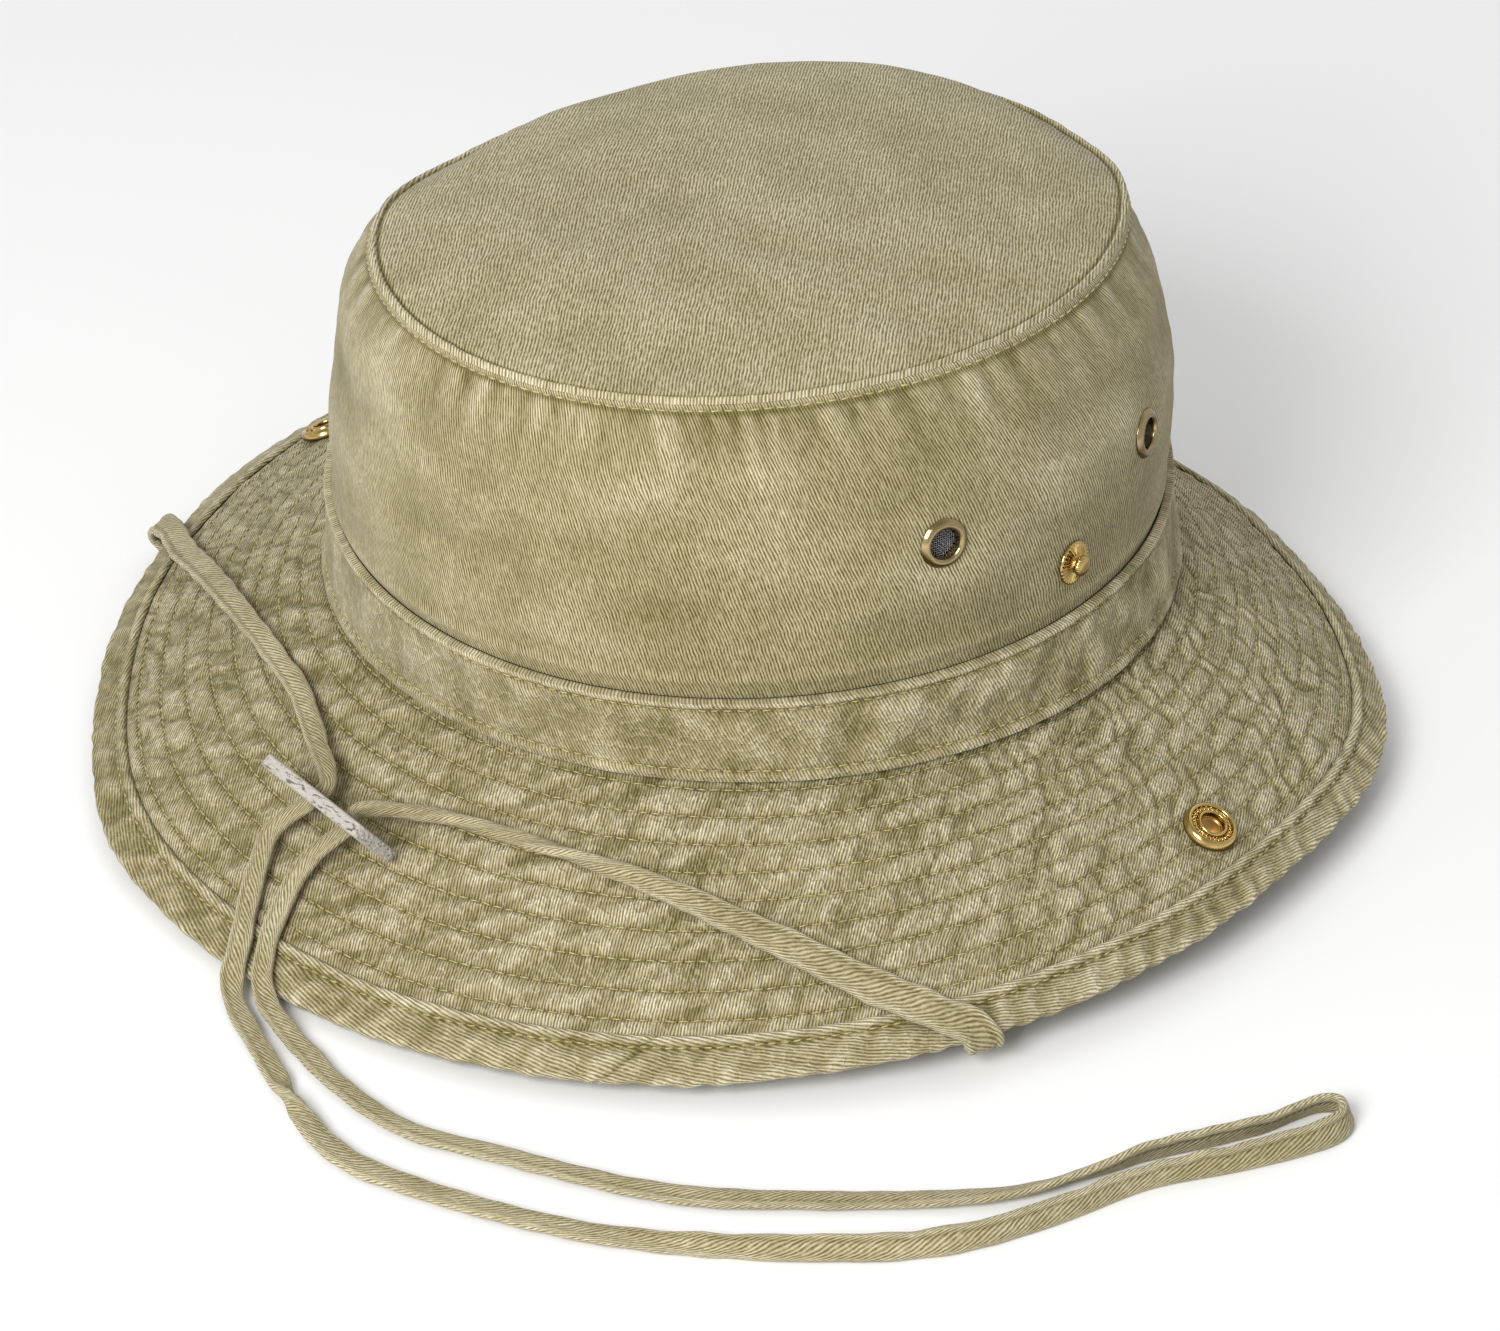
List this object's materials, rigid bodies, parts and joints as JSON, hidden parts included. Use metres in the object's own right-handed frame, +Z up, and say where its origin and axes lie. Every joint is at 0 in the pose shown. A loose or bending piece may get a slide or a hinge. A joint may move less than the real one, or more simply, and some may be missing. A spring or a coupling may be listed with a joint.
{
  "type": "boonie hat",
  "caption": "Cotton twill boonie hat: domed crown with band, quilted brim whose sides fold up to press studs, screened vents and a chin cord with a leather slider.",
  "frame": {"origin": "on the table under the middle of the brim, measured without the chin cord and its slider", "axes": "+X to the wearer's left, +Y to the back of the hat, +Z up through the crown"},
  "size_m": [0.3499, 0.335, 0.1288],
  "materials": {
    "twill": "garment-washed khaki cotton twill",
    "binding": "bias-cut khaki twill tape, worn pale along its edge",
    "cord_twill": "folded and stitched khaki twill strip",
    "sweatband": "soft khaki cotton",
    "lining_tape": "cotton seam tape",
    "interlining": "stiff undyed cotton",
    "brass": "polished brass plate",
    "screen": "dark fine wire mesh",
    "suede": "raw off-white suede with fibrous cut edges"
  },
  "bodies": {
    "hat": {"crown_tip": "twill", "crown_side": "twill", "tip_seam_tape": "lining_tape", "hat_band": "twill", "sweatband": "sweatband", "brim_top_cloth": "twill", "brim_interlining": "interlining", "brim_under_cloth": "twill", "brim_binding": "binding", "vent_eyelets": "brass", "vent_washers": "brass", "vent_screens": "screen", "left_stud": "brass", "left_stud_back": "brass", "right_stud": "brass", "right_stud_back": "brass", "chin_cord_right_run": "cord_twill", "chin_cord_left_run": "cord_twill", "chin_cord_loop": "cord_twill"},
    "left_flap": {"left_flap_top_cloth": "twill", "left_flap_interlining": "interlining", "left_flap_under_cloth": "twill", "left_flap_binding": "binding", "left_socket": "brass", "left_socket_cap": "brass"},
    "right_flap": {"right_flap_top_cloth": "twill", "right_flap_interlining": "interlining", "right_flap_under_cloth": "twill", "right_flap_binding": "binding", "right_socket": "brass", "right_socket_cap": "brass"},
    "slider": {"cord_slider": "suede"}
  },
  "joints": [
    {"name": "left_brim_fold", "type": "hinge", "parent": "hat", "child": "left_flap", "pos_m": [0.0995, 0, 0.03401], "axis": [0, -1, 0], "range_deg": [0, 117.13], "deforming": ["chin_cord_left_run"]},
    {"name": "right_brim_fold", "type": "hinge", "parent": "hat", "child": "right_flap", "pos_m": [-0.0995, 0, 0.03401], "axis": [0, 1, 0], "range_deg": [0, 117.13], "deforming": ["chin_cord_right_run"]},
    {"name": "cord_slider_slide", "type": "slide", "parent": "hat", "child": "slider", "axis": [0, -0.8852, -0.4651], "range_m": [-0.006, 0.014], "deforming": ["chin_cord_right_run", "chin_cord_left_run", "chin_cord_loop"]}
  ]
}
